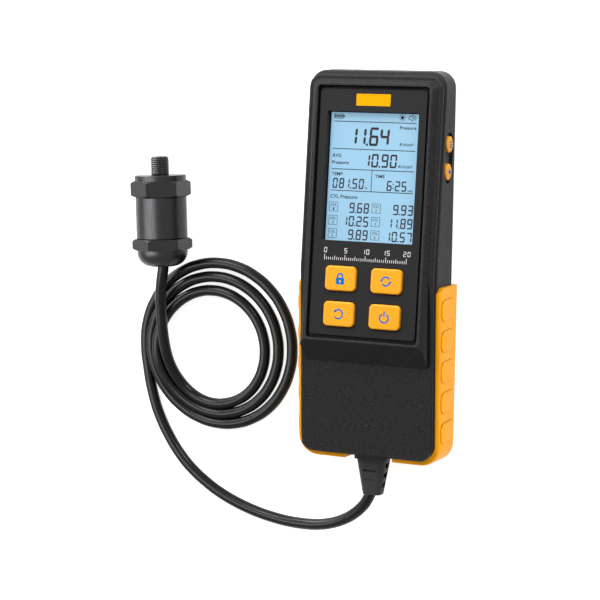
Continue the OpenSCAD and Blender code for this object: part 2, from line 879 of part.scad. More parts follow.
// Side key: domed round cap, flange and plunger, turned about its own axis
module side_key(place) {
    crown = 0.8;
    cap_r = side_key_d / 2;
    dome_r = (cap_r * cap_r + crown * crown) / (2 * crown);
    flange = side_flange_x - side_flange_t;
    color(orange) at_head() at_side_key(place) {
        intersection() {
            translate([0, 0, flange]) cylinder(r = cap_r, h = far);
            translate([0, 0, side_face + side_key_proud - dome_r]) sphere(dome_r, $fn = 96);
        }
        translate([0, 0, flange]) cylinder(r = cap_r + 1, h = side_flange_t);
        translate([0, 0, side_plunger_x]) cylinder(d = side_plunger_d, h = side_flange_x - side_plunger_x);
    }
}

module side_key_upper() {
    side_key(1);
}

module side_key_lower() {
    side_key(-1);
}

// Strain relief: flange on the casing's end, ribbed tapering sleeve, neck and inner flange
module strain_relief() {
    slot_pitch = 5.2;
    slot_w = 1.1;
    color(black_shell) at_device() translate([0, bottom_y - 0.1, relief_z]) rotate([90, 0, 0])
        difference() {
            union() {
                linear_extrude(relief_flange_t)
                    round_rect(relief_flange_w, relief_flange_w * relief_depth, 3);
                hull() {
                    relief_slice(relief_w, relief_flange_t);
                    relief_slice(relief_tip_w, relief_flange_t + relief_len - 1);
                }
                translate([0, 0, -wall - 0.3]) cylinder(d = relief_neck_d, h = wall + 1);
                translate([0, 0, -wall - 0.3 - relief_inner_t])
                    cylinder(d = relief_inner_d, h = relief_inner_t);
            }
            for (i = [0:2]) translate([0, 0, relief_flange_t + 3.4 + i * slot_pitch]) {
                both_sides(relief_w / 2) cube([6.4, 4.6, slot_w * 2.4], center = true);
                for (s = [-1, 1]) translate([0, s * relief_w * relief_depth / 2, slot_pitch / 2])
                    cube([7.4, 3.4, slot_w], center = true);
            }
            cylinder(d = cable_d + 0.2, h = far, center = true);
        }
}

module relief_slice(w, z) {
    translate([0, 0, z]) linear_extrude(1) round_rect(w, w * relief_depth, w / 4);
}

// Tube along a route, one ring of corners at each of its points
function unit(v) = v / norm(v);
function along(route, i) = unit(route[min(i + 1, len(route) - 1)] - route[max(i - 1, 0)]);
function across(route, i) = unit(cross(along(route, i), [0, 0, 1]));
function upward(route, i) = cross(across(route, i), along(route, i));
function spoke(route, i, a) = cos(a) * across(route, i) + sin(a) * upward(route, i);
function ring(route, i) = [for (k = [0:tube_sides - 1])
    route[i] + cable_d / 2 * spoke(route, i, 360 * k / tube_sides)];
function corner(i, k) = i * tube_sides + k % tube_sides;

module cable_tube(route) {
    last = len(route) - 1;
    corners = [for (i = [0:last]) each ring(route, i)];
    walls = [for (i = [0:last - 1], k = [0:tube_sides - 1])
        [corner(i, k), corner(i, k + 1), corner(i + 1, k + 1), corner(i + 1, k)]];
    start = [[for (k = [tube_sides - 1:-1:0]) corner(0, k)]];
    end = [[for (k = [0:tube_sides - 1]) corner(last, k)]];
    polyhedron(corners, concat(walls, start, end), convexity = 6);
}

module cable_tail() {
    color(cable_black) cable_tube(tail_route);
}

module cable_lead() {
    color(cable_black) cable_tube(lead_route);
}

// Outer form of the coil's three turns
module cable_coil() {
    color(cable_black) translate([coil_centre.x, coil_centre.y, coil_h / 2]) rotate_extrude($fn = 96)
        translate([(coil_r0 + coil_r1) / 2, 0]) round_rect(coil_r1 - coil_r0, coil_h, coil_edge);
}

// Hexagonal length of the sensor with chamfered corners
module chamfered_hex(len, chamfer) {
    r = hex_r;
    intersection() {
        cylinder(r = r, h = len, $fn = 6);
        rotate_extrude($fn = 96) polygon([[0, 0], [r - chamfer, 0], [r, chamfer * 0.6],
            [r, len - chamfer * 0.6], [r - chamfer, len], [0, len]]);
    }
}

// Nose: stud with the pressure port, collar and upper hexagon, with a spigot into the barrel
module sensor_nose() {
    stud_chamfer = 1;
    collar_r = hex_af / 2 - 0.15;
    color(gunmetal) at_sensor() difference() {
        union() {
            translate([0, 0, barrel_z1 - spigot_len]) cylinder(d = spigot_d - 0.1, h = spigot_len + 1);
            translate([0, 0, barrel_z1]) chamfered_hex(hex_len, 1.6);
            translate([0, 0, hex_z1]) rotate_extrude($fn = 96) polygon([[0, 0], [collar_r, 0],
                [collar_r, collar_len - 0.8], [collar_r - 0.8, collar_len], [0, collar_len]]);
            translate([0, 0, collar_z1]) rotate_extrude() polygon([[0, -1], [stud_d / 2, -1],
                [stud_d / 2, stud_len - stud_chamfer], [stud_d / 2 - stud_chamfer, stud_len], [0, stud_len]]);
        }
        cylinder(d = port_d, h = far);
        translate([0, 0, barrel_z1 - spigot_len - 1])
            cylinder(d = cell_bore_d, h = spigot_len + 1 + cell_front - barrel_z1);
    }
}

module sensor_barrel() {
    color(gunmetal) at_sensor() translate([0, 0, cap_z1]) rotate_extrude($fn = 96) difference() {
        polygon([[0, 0], [barrel_d / 2 - 0.4, 0], [barrel_d / 2, 0.4], [barrel_d / 2, barrel_len - 0.4],
            [barrel_d / 2 - 0.4, barrel_len], [0, barrel_len]]);
        translate([-1, -1]) square([1 + spigot_d / 2, barrel_len + 2]);
    }
}

// Cap: lower hexagon and domed end with the cable's hole
module sensor_cap() {
    dome_r = hex_af / 2 - 0.4;
    round_r = dome_len - 1;
    color(gunmetal) at_sensor() difference() {
        union() {
            translate([0, 0, dome_len]) chamfered_hex(cap_hex_len, 1.6);
            rotate_extrude($fn = 96) polygon(concat([[0, 0]],
                [for (a = [-90:10:0]) [dome_r - round_r + round_r * cos(a), round_r + round_r * sin(a)]],
                [[dome_r, dome_len], [0, dome_len]]));
            translate([0, 0, cap_z1 - 1]) cylinder(d = spigot_d - 0.1, h = spigot_len + 1);
        }
        translate([0, 0, -1]) cylinder(d = cable_d + 0.4, h = far);
        translate([0, 0, seal_z]) cylinder(d = cell_bore_d, h = far);
    }
}

// Pressure cell in the nose, with its seal ring in front of it
module pressure_cell() {
    color("silver") at_sensor() translate([0, 0, cell_front - seal_d - cell_h]) {
        cylinder(d = cell_bore_d - 0.3, h = cell_h);
        for (a = [0:120:240]) rotate([0, 0, a]) translate([5, 0, -cell_leg_len])
            cylinder(d = 0.8, h = cell_leg_len + 0.5);
    }
}

module cell_seal() {
    color("black") at_sensor() translate([0, 0, cell_front - seal_d / 2]) rotate_extrude()
        translate([cell_bore_d / 2 - seal_d / 2 - 0.15, 0]) circle(d = seal_d - 0.02);
}

module sensor_board() {
    color(board_green) at_sensor() translate([0, 0, cell_front - seal_d - cell_h - cell_leg_len - board_t])
        difference() {
            cylinder(d = spigot_d - 0.4, h = board_t);
            for (a = [0:120:240]) rotate([0, 0, a + 60]) translate([7, 0, -1]) cylinder(d = 2, h = 4);
        }
}

// Rubber seal round the cable inside the cap
module cable_seal() {
    color("dimgray") at_sensor() translate([0, 0, seal_z + 0.05]) difference() {
        cylinder(d = cell_bore_d - 0.3, h = seal_len);
        cylinder(d = cable_d + 0.1, h = far, center = true);
    }
}

front_shell();
rear_shell();
left_grip();
right_grip();
face_panel();
lcd_glass();
lcd_backlight();
main_board();
board_screws();
front_switches();
side_board();
side_switches();
buzzer();
battery_cells();
battery_contacts();
battery_door();
door_screw();
case_screws();
key_lock();
key_refresh();
key_undo();
key_power();
side_key_upper();
side_key_lower();
strain_relief();
cable_tail();
cable_coil();
cable_lead();
sensor_nose();
sensor_barrel();
sensor_cap();
pressure_cell();
cell_seal();
sensor_board();
cable_seal();
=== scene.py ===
"""Looks, light and camera of a handheld digital cylinder pressure gauge and its wired sensor."""

import math

import bmesh
import bpy
from mathutils import Matrix, Vector


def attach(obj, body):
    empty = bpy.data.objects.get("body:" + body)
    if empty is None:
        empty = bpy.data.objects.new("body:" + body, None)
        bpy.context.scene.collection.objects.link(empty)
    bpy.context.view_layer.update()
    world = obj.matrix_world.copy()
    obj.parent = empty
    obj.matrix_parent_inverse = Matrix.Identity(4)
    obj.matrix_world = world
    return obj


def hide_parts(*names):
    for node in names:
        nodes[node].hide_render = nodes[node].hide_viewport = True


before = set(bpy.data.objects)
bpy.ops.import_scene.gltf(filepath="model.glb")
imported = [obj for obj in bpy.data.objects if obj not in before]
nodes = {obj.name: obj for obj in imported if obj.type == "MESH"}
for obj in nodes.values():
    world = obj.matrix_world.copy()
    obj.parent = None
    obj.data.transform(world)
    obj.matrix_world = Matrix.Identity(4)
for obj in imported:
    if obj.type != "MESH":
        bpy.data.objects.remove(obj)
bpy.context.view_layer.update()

# Sizes are in millimetres in this script's own values, and MM turns them into the frame's metres
MM = 0.001
BODY = "tester"

# The head's face slopes from its bend; pieces on it are drawn flat, x across and y along the head
HEAD_SLOPE = math.radians(5)
HEAD_ORIGIN = (50, -2, 31)
HEAD = Matrix.Translation(HEAD_ORIGIN) @ Matrix.Rotation(-HEAD_SLOPE, 4, "X")
PANEL_TOP = 1.1
KEY_RISE = 1.5
KEY_TOP = PANEL_TOP + KEY_RISE
KEY_PITCH = (25.1, 18.1)
KEY_BLOCK_Y = -12.5
GLASS_TOP = -2.3
SCREEN_Y = 48.5
SCREEN_W = 50
SCREEN_LEN = 65.6
PRINT_LIFT = 0.03

# The sensor lies on one corner of each of its hexagons, turned a little from the casing's length
HEX_AF = 28
HEX_R = HEX_AF / math.sqrt(3)
SENSOR_TURN = math.radians(2.4)
SENSOR_ORIGIN = (-74.6, -7.1, HEX_R)
SENSOR = (Matrix.Translation(SENSOR_ORIGIN) @ Matrix.Rotation(SENSOR_TURN, 4, "Z")
          @ Matrix.Rotation(-math.pi / 2, 4, "X"))
SENSOR_ROLL = math.radians(30)

# Edges that turn by more than this stay sharp, or are rounded where the solid is softened
CREASE = math.radians(28)


def srgb(red, green, blue):
    """Linear colour of a screen colour given in steps of 0 to 255."""
    def linear(step):
        share = step / 255
        return share / 12.92 if share <= 0.04045 else ((share + 0.055) / 1.055) ** 2.4
    return (linear(red), linear(green), linear(blue), 1)


def new_material(name, colour, roughness, metallic=0.0):
    """A principled material; returns it with its node tree and its shader."""
    material = bpy.data.materials.new(name)
    material.use_nodes = True
    tree = material.node_tree
    shader = tree.nodes["Principled BSDF"]
    shader.inputs["Base Color"].default_value = colour
    shader.inputs["Roughness"].default_value = roughness
    shader.inputs["Metallic"].default_value = metallic
    return material, tree, shader


def noise(tree, cell_mm, detail=2.0, stretch=(1, 1, 1)):
    """Noise whose cells are about that many millimetres wide, fixed to the object."""
    place = tree.nodes.new("ShaderNodeTexCoord")
    mapping = tree.nodes.new("ShaderNodeMapping")
    mapping.inputs["Scale"].default_value = stretch
    texture = tree.nodes.new("ShaderNodeTexNoise")
    texture.inputs["Scale"].default_value = 1 / (cell_mm * MM)
    texture.inputs["Detail"].default_value = detail
    tree.links.new(place.outputs["Object"], mapping.inputs["Vector"])
    tree.links.new(mapping.outputs["Vector"], texture.inputs["Vector"])
    return texture.outputs["Fac"]


def vary(tree, fac, target, low, high, at=(0.3, 0.7)):
    """Let a pattern drive a shader's colour or number between two values."""
    ramp = tree.nodes.new("ShaderNodeValToRGB")
    ends = ramp.color_ramp.elements
    for end, place, value in zip(ends, at, (low, high)):
        end.position = place
        end.color = value
    tree.links.new(fac, ramp.inputs["Fac"])
    tree.links.new(ramp.outputs["Color"], target)


def bump(tree, shader, fac, depth_mm):
    """Raise the surface by a noise of that depth."""
    node = tree.nodes.new("ShaderNodeBump")
    node.inputs["Strength"].default_value = 1
    node.inputs["Distance"].default_value = depth_mm * MM
    tree.links.new(fac, node.inputs["Height"])
    tree.links.new(node.outputs["Normal"], shader.inputs["Normal"])


def shade(colour, factor):
    """A colour made darker or lighter."""
    return tuple(channel * factor for channel in colour[:3]) + (1,)


def grey(value):
    """A neutral colour of that linear value."""
    return (value, value, value, 1)


def paint_crease_shade_and_edge_light(material, tint, reach_mm, outer=False, span=(0.5, 0.95)):
    """Painted shade: darken the base colour along a solid's inner creases; or, with outer, a painted
    highlight that lightens its outer edges.
    """
    tree = material.node_tree
    closeness = tree.nodes.new("ShaderNodeAmbientOcclusion")
    closeness.samples = 16
    closeness.only_local = True
    closeness.inside = outer
    closeness.inputs["Distance"].default_value = reach_mm * MM
    blend = tree.nodes.new("ShaderNodeMix")
    blend.data_type = "RGBA"
    blend.blend_type = "MULTIPLY"
    blend.inputs["Factor"].default_value = 1
    first, second = (socket for socket in blend.inputs if socket.enabled and socket.type == "RGBA")
    colour = tree.nodes["Principled BSDF"].inputs["Base Color"]
    tree.links.new(colour.links[0].from_socket, first)
    vary(tree, closeness.outputs["AO"], second, tint, grey(1), span)
    tree.links.new(next(socket for socket in blend.outputs if socket.enabled), colour)


GLOSS_CELL = 14
GLOSS_SPREAD = 0.025
TOOL_SPREAD = (-0.06, 0.08)


def moulded(name, colour, roughness, cell_mm, depth_mm, spread=0.15, gloss=0.5):
    """Moulded plastic or rubber: grain, a little colour variation and uneven gloss."""
    material, tree, shader = new_material(name, colour, roughness)
    shader.inputs["Specular IOR Level"].default_value = gloss
    grain = noise(tree, cell_mm, 3)
    vary(tree, grain, shader.inputs["Base Color"], shade(colour, 1 - spread), shade(colour, 1 + spread))
    shiny, dull = grey(roughness - GLOSS_SPREAD), grey(roughness + GLOSS_SPREAD)
    vary(tree, noise(tree, GLOSS_CELL), shader.inputs["Roughness"], shiny, dull)
    bump(tree, shader, grain, depth_mm)
    return material


def plain_metal(name, colour, roughness, cell_mm=1.2, stretch=(1, 1, 1), depth_mm=0.004):
    """Metal with fine tool marks."""
    material, tree, shader = new_material(name, colour, roughness, 1.0)
    marks = noise(tree, cell_mm, 3, stretch)
    shiny, dull = (grey(roughness + change) for change in TOOL_SPREAD)
    vary(tree, marks, shader.inputs["Roughness"], shiny, dull)
    bump(tree, shader, marks, depth_mm)
    return material


SCREEN_BLUE = srgb(164, 213, 243)
SCREEN_BASE = 0.4
SCREEN_GLOW = 0.5


def screen_glow():
    """Lit display, whose glow is almost even."""
    material, tree, shader = new_material("screen_glow", shade(SCREEN_BLUE, SCREEN_BASE), 0.3)
    dim, full = shade(SCREEN_BLUE, 0.96), shade(SCREEN_BLUE, 1.04)
    vary(tree, noise(tree, 30, 1), shader.inputs["Emission Color"], dim, full)
    shader.inputs["Emission Strength"].default_value = SCREEN_GLOW
    return material


# Moulded ones give colour, roughness, size and depth of the grain, spread of the colour, gloss
SHELL = moulded("shell_spark", srgb(49, 49, 50), 0.34, 0.62, 0.035, 0.42, 0.035)
PANEL = moulded("panel_satin", srgb(43, 43, 44), 0.45, 0.25, 0.006, 0.06, 0.08)
GRIP = moulded("grip_rubber", srgb(255, 172, 20), 0.38, 0.3, 0.008, 0.05, 0.1)
KEY = moulded("key_rubber", srgb(255, 172, 34), 0.45, 0.25, 0.008, 0.05, 0.25)
CABLE = moulded("cable_jacket", srgb(10, 10, 11), 0.26, 0.8, 0.006, 0.12, 0.16)
RELIEF = moulded("relief_rubber", srgb(54, 54, 55), 0.55, 0.35, 0.02, 0.15, 0.25)
SEAL = moulded("seal_rubber", srgb(30, 30, 30), 0.6, 0.4, 0.01)
BOARD = moulded("board_mask", srgb(24, 92, 52), 0.4, 1.5, 0.005)
DIFFUSER = moulded("diffuser", srgb(226, 232, 238), 0.6, 2.0, 0.004, 0.03)
SLEEVE = moulded("cell_sleeve", srgb(70, 76, 86), 0.35, 3.0, 0.004, 0.08)
STEEL = plain_metal("plain_steel", grey(0.55), 0.3)
GUNMETAL = plain_metal("gunmetal", srgb(52, 52, 53), 0.34, 0.5, (1, 0.06, 1), 0.001)
SCREEN = screen_glow()
SEGMENT = moulded("segment_ink", srgb(44, 34, 38), 0.5, 1.0, 0.001, 0.04, 0.2)
# Painted shadow: a dark sheet along the screen's left and top edges, where the window's walls shade the
# display
SCREEN_EDGE_SHADE = moulded("painted_screen_shadow", srgb(14, 24, 38), 0.5, 1.0, 0.001, 0.04, 0.2)
BLUE_INK = moulded("blue_ink", srgb(0, 120, 198), 0.5, 0.3, 0.002, 0.05, 0.02)
WHITE_INK = moulded("white_ink", srgb(226, 226, 226), 0.5, 0.3, 0.002, 0.04)
AMBER_INK = moulded("amber_ink", srgb(250, 172, 0), 0.5, 0.3, 0.002, 0.04, 0.05)

# Painted shade darkens the grips' grooves and the shell's creases, and a painted highlight lightens the
# shell's outer edges
paint_crease_shade_and_edge_light(GRIP, (0.52, 0.3, 0.1, 1), 2.2)
paint_crease_shade_and_edge_light(SHELL, grey(0.4), 2.5)
paint_crease_shade_and_edge_light(SHELL, grey(1.8), 1.3, True, (0.55, 0.97))

# Which solids are made of which material
FINISH = {
    SHELL: ("front_shell", "rear_shell", "battery_door"),
    GRIP: ("left_grip", "right_grip"),
    PANEL: ("face_panel",),
    SCREEN: ("lcd_glass",),
    DIFFUSER: ("lcd_backlight",),
    BOARD: ("main_board", "side_board", "sensor_board"),
    STEEL: ("board_screws", "door_screw", "case_screws", "battery_contacts", "front_switches",
            "side_switches", "pressure_cell"),
    SLEEVE: ("battery_cells",),
    KEY: ("key_lock", "key_refresh", "key_undo", "key_power", "side_key_upper", "side_key_lower"),
    RELIEF: ("strain_relief", "buzzer"),
    CABLE: ("cable_tail", "cable_coil", "cable_lead"),
    GUNMETAL: ("sensor_nose", "sensor_barrel", "sensor_cap"),
    SEAL: ("cell_seal", "cable_seal"),
}

# Edge radius of the solids that are softened, in millimetres
EDGES = {
    "front_shell": 0.7,
    "face_panel": 0.12,
    "battery_door": 0.25,
    "left_grip": 0.3,
    "right_grip": 0.3,
    "strain_relief": 0.35,
    "sensor_barrel": 0.15,
    "sensor_cap": 0.25,
}
WELD_DISTANCE = 0.005
FLAT_ANGLE = math.radians(0.6)


def paint(piece, material):
    """Give a piece one material."""
    piece.data.materials.clear()
    piece.data.materials.append(material)


def soften(piece, radius_mm):
    """Round a solid's sharp edges."""
    weld = piece.modifiers.new("weld", "WELD")
    weld.merge_threshold = WELD_DISTANCE * MM
    flatten = piece.modifiers.new("flatten", "DECIMATE")
    flatten.decimate_type = "DISSOLVE"
    flatten.angle_limit = FLAT_ANGLE
    bevel = piece.modifiers.new("edges", "BEVEL")
    bevel.width = radius_mm * MM
    bevel.segments = 3
    bevel.limit_method = "ANGLE"
    bevel.angle_limit = CREASE
    normals = piece.modifiers.new("normals", "WEIGHTED_NORMAL")
    normals.keep_sharp = False


def finish_solids():
    """Give every solid its material and smooth shading, and soften those that need it."""
    for material, names in FINISH.items():
        for name in names:
            paint(nodes[name], material)
            nodes[name].data.shade_smooth()
            nodes[name].data.set_sharp_from_angle(angle=CREASE)
    for name, radius in EDGES.items():
        soften(nodes[name], radius)


def add_piece(name, mesh, material, body):
    """Put a mesh into the scene as a piece that moves with a body."""
    piece = bpy.data.objects.new(name, mesh)
    bpy.context.scene.collection.objects.link(piece)
    paint(piece, material)
    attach(piece, body)
    return piece


# Flat prints, drawn in the plane of x and y


def draw_polygon(mesh, points):
    """A flat face that looks up, whichever way round its points are given."""
    ring = zip(points, [*points[1:], points[0]])
    area = sum(x0 * y1 - x1 * y0 for (x0, y0), (x1, y1) in ring)
    mesh.faces.new([mesh.verts.new((x, y, 0)) for x, y in (points if area > 0 else reversed(points))])


def draw_bar(mesh, x0, y0, x1, y1):
    """A filled box between two corners."""
    draw_polygon(mesh, [(x0, y0), (x1, y0), (x1, y1), (x0, y1)])


def draw_frame(mesh, x0, y0, x1, y1, width):
    """The outline of a box, drawn inside its corners."""
    draw_bar(mesh, x0, y0, x1, y0 + width)
    draw_bar(mesh, x0, y1 - width, x1, y1)
    draw_bar(mesh, x0, y0 + width, x0 + width, y1 - width)
    draw_bar(mesh, x1 - width, y0 + width, x1, y1 - width)


def draw_stroke(mesh, start, end, width):
    """A straight line of some width between two points."""
    along = Vector(end) - Vector(start)
    side = Vector((-along.y, along.x)).normalized() * width / 2
    draw_polygon(mesh, [Vector(start) - side, Vector(end) - side, Vector(end) + side, Vector(start) + side])


def polar(centre, radius, degrees):
    """The point at an angle and a distance from a centre."""
    angle = math.radians(degrees)
    return centre[0] + radius * math.cos(angle), centre[1] + radius * math.sin(angle)


def draw_arc(mesh, centre, radius, width, start, end, steps=24):
    """Band of a circle between two angles in degrees."""
    turns = [start + (end - start) * step / steps for step in range(steps + 1)]
    inner, outer = radius - width / 2, radius + width / 2
    for first, second in zip(turns, turns[1:]):
        draw_polygon(mesh, [polar(centre, inner, first), polar(centre, outer, first),
                            polar(centre, outer, second), polar(centre, inner, second)])


def draw_head(mesh, tip, direction, length, width):
    """Arrowhead whose point is at the tip, looking along a direction in degrees."""
    base = polar(tip, -length, direction)
    left, right = (polar(base, width / 2, direction + turn) for turn in (90, -90))
    draw_polygon(mesh, [tip, left, right])


# Height of a capital letter as a share of the typeface's size, and how much bolder it is drawn
CAPITAL = 0.7
BOLDER = 0.03


def draw_label(mesh, text, x, y, height, width, align):
    """A word in the built-in typeface, with its baseline at y, fitted to a width."""
    curve = bpy.data.curves.new("label", "FONT")
    curve.body = text
    curve.size = height / CAPITAL
    curve.offset = BOLDER * height
    curve.resolution_u = 3
    holder = bpy.data.objects.new("label", curve)
    bpy.context.scene.collection.objects.link(holder)
    bpy.context.view_layer.update()
    drawn = bpy.data.meshes.new_from_object(holder)
    places = [vertex.co.x for vertex in drawn.vertices]
    left, right = min(places), max(places)
    stretch = width / (right - left)
    anchor = {"LEFT": left, "CENTER": (left + right) / 2, "RIGHT": right}[align] * stretch
    drawn.transform(Matrix.Translation((x - anchor, y, 0)) @ Matrix.Scale(stretch, 4, (1, 0, 0)))
    mesh.from_mesh(drawn)
    bpy.data.objects.remove(holder)
    bpy.data.meshes.remove(drawn)
    bpy.data.curves.remove(curve)


# Which of the seven segments a digit lights: top, upper pair, middle, lower pair, bottom
SEGMENTS = {
    "0": "tlrLRb", "1": "rR", "2": "trmLb", "3": "trmRb", "4": "lrmR", "5": "tlmRb",
    "6": "tlmLRb", "7": "trR", "8": "tlrmLRb", "9": "tlrmRb",
}
DIGIT_SLANT = 0.06
DIGIT_STROKE = 0.135
SEGMENT_GAP = 0.08

# Points and colons: size, the room each takes and the heights of its dots
DOT = 0.125
SIGN_ROOM = {".": 0.17, ":": 0.3}
SIGN_DOTS = {".": (0,), ":": (0.2, 0.6)}
CLOSER_ONE = 0.2


def draw_digit(mesh, digit, x, y, width, height):
    """One digit of slanted segments with pointed ends, whose lower left corner is at x, y."""
    stroke = DIGIT_STROKE * height
    gap = SEGMENT_GAP * stroke
    half, end = height / 2, stroke / 2

    def level(at):
        return [(gap, at), (gap + end, at - end), (width - gap - end, at - end), (width - gap, at),
                (width - gap - end, at + end), (gap + end, at + end)]

    def upright(at, low, high):
        return [(at, low + gap), (at + end, low + gap + end), (at + end, high - gap - end),
                (at, high - gap), (at - end, high - gap - end), (at - end, low + gap + end)]

    outlines = {
        "t": level(height - end), "m": level(half), "b": level(end),
        "l": upright(end, half, height - end), "r": upright(width - end, half, height - end),
        "L": upright(end, end, half), "R": upright(width - end, end, half),
    }
    for segment in SEGMENTS[digit]:
        draw_polygon(mesh, [(x + px + DIGIT_SLANT * py, y + py) for px, py in outlines[segment]])


def draw_number(mesh, text, right, y, height, width, pitch):
    """A number set from its right end; a 1 stands closer, and a point has room of its own."""
    dot = DOT * height
    x = right
    for sign in reversed(text):
        if sign in SIGN_ROOM:
            room = SIGN_ROOM[sign] * pitch
            x -= room
            middle = x + (pitch - width + room) / 2
            for share in SIGN_DOTS[sign]:
                low = y + share * height
                draw_bar(mesh, middle - dot / 2, low, middle + dot / 2, low + dot)
        else:
            draw_digit(mesh, sign, x - width, y, width, height)
            x -= pitch - (CLOSER_ONE * width if sign == "1" else 0)


def add_drawing(name, drawing, material, body, place):
    """Turn a drawing in millimetres into a piece at its place."""
    mesh = bpy.data.meshes.new(name)
    drawing.to_mesh(mesh)
    drawing.free()
    mesh.transform(Matrix.Scale(MM, 4) @ place)
    return add_piece(name, mesh, material, body)


def on_head(x, y, z):
    """A place on the head's sloping face."""
    return HEAD @ Matrix.Translation((x, y, z))


# Screen: places are shares of its printed width, from the left, and of its length, from the top

PRINT_W = 0.966 * SCREEN_W
PRINT_INSET = 0.55
RULES = (0.077, 0.289, 0.446, 0.612)
RULE_ENDS = (0.041, 0.974)
RULE_W = 0.4
DIVIDER = 0.503
DIVIDER_W = 0.36
# Painted shadow on the screen: its width at the left side, and the width of its band at the top and past
# the left edge
SHADE_SIDE = 0.9
SHADE_EDGE = 0.5

# Text, place, height, width and alignment
WORDS = (
    ("Pressure", (0.975, 0.125), 1.6, 8.9, "RIGHT"),
    ("Kg/cm²", (0.953, 0.252), 1.45, 7.4, "RIGHT"),
    ("AVG", (0.04, 0.354), 1.7, 5, "LEFT"),
    ("Pressure", (0.04, 0.407), 1.7, 9.3, "LEFT"),
    ("Kg/cm²", (0.95, 0.421), 1.45, 7.4, "RIGHT"),
    ("TEMP", (0.044, 0.496), 1.6, 6.1, "LEFT"),
    ("°F", (0.428, 0.595), 1, 1.5, "LEFT"),
    ("TIME", (0.539, 0.503), 1.6, 5.3, "LEFT"),
    ("min", (0.917, 0.6), 1.1, 2.4, "LEFT"),
    ("CYL Pressure", (0.04, 0.672), 1.8, 15, "LEFT"),
)

# Text, place of its right end, height, width of a digit and pitch
NUMBERS = (
    ("11.64", (0.672, 0.26), 9.4, 5, 5.85),
    ("10.90", (0.773, 0.424), 6.8, 3.75, 4.65),
    ("081.50", (0.413, 0.595), 5.2, 2.7, 3.6),
    ("6:25", (0.895, 0.6), 5.1, 2.7, 3.45),
)


def on_screen(across, down):
    """A place on the screen in millimetres from its lower left corner."""
    return across * PRINT_W, (1 - down) * SCREEN_LEN


def add_screen_print():
    """Readings, rules and marks on the display, and a painted shadow: a dark band at its left and top edges
    where the window's walls shade it.
    """
    ink = bmesh.new()
    for rule in RULES:
        (left, y), (right, y) = (on_screen(end, rule) for end in RULE_ENDS)
        draw_bar(ink, left, y - RULE_W / 2, right, y + RULE_W / 2)
    (x, low), (x, high) = on_screen(DIVIDER, RULES[3]), on_screen(DIVIDER, RULES[2])
    draw_bar(ink, x - DIVIDER_W / 2, low, x + DIVIDER_W / 2, high)
    draw_status_marks(ink)
    for text, place, height, width, align in WORDS:
        draw_label(ink, text, *on_screen(*place), height, width, align)
    for text, place, height, width, pitch in NUMBERS:
        draw_number(ink, text, *on_screen(*place), height, width, pitch)
    draw_cylinder_table(ink)
    corner = on_head(-SCREEN_W / 2, SCREEN_Y - SCREEN_LEN / 2, GLASS_TOP + PRINT_LIFT)
    inset = corner @ Matrix.Translation((PRINT_INSET, 0, 0))
    add_drawing("screen_print", ink, SEGMENT, BODY, inset)
    # Painted shadow along the screen's left and top edges, where the window's walls shade it
    edge_shade = bmesh.new()
    draw_bar(edge_shade, -SHADE_EDGE, 0, SHADE_SIDE, SCREEN_LEN)
    draw_bar(edge_shade, SHADE_SIDE, SCREEN_LEN - SHADE_EDGE, SCREEN_W, SCREEN_LEN)
    add_drawing("screen_edge_shadow", edge_shade, SCREEN_EDGE_SHADE, BODY, corner)


def draw_status_marks(ink):
    """Charge mark at the left, light and sound marks at the right."""
    x, y = on_screen(0.038, 0.057)
    draw_frame(ink, x, y, x + 5.2, y + 2.5, 0.25)
    draw_bar(ink, x + 5.2, y + 0.7, x + 5.8, y + 1.8)
    for bar in range(4):
        draw_bar(ink, x + 0.5 + 1.12 * bar, y + 0.55, x + 1.3 + 1.12 * bar, y + 1.95)
    sun = on_screen(0.814, 0.037)
    draw_arc(ink, sun, 0.45, 0.9, 0, 360, 16)
    for ray in range(8):
        draw_stroke(ink, polar(sun, 1.2, 45 * ray), polar(sun, 1.85, 45 * ray), 0.32)
    x, y = on_screen(0.888, 0.037)
    half = [(x, y - 0.75), (x + 0.9, y - 0.75), (x + 2.1, y - 1.7)]
    horn = half + [(px, 2 * y - py) for px, py in reversed(half)]
    for start, end in zip(horn, horn[1:] + horn[:1]):
        draw_stroke(ink, start, end, 0.3)
    for ring in (0.9, 1.7):
        draw_arc(ink, (x + 2, y), ring, 0.26, -48, 48, 8)


CYLINDER_READINGS = (("9.68", "9.93"), ("10.25", "11.89"), ("9.89", "10.57"))
CYLINDER_COLUMNS = ((0.036, 0.487), (0.522, 0.984))
CYLINDER_TOP = 0.702
CYLINDER_PITCH = 0.1035


def draw_cylinder_table(ink):
    """Six numbered boxes with a reading beside each."""
    for row, pair in enumerate(CYLINDER_READINGS):
        for column, reading in enumerate(pair):
            left, right = CYLINDER_COLUMNS[column]
            top = CYLINDER_TOP + CYLINDER_PITCH * row
            x, y = on_screen(left, top + 0.074)
            draw_frame(ink, x, y, x + 4.8, y + 4.85, 0.24)
            draw_label(ink, "CYL", x + 2.4, y + 2.75, 1.2, 3.2, "CENTER")
            draw_label(ink, str(2 * row + column + 1), x + 2.4, y + 0.75, 1.3, 0.8, "CENTER")
            draw_number(ink, reading, *on_screen(right, top + 0.08), 5.2, 2.85, 3.65)


# Key marks, drawn round the middle of a key

MARK_STROKE = 0.8


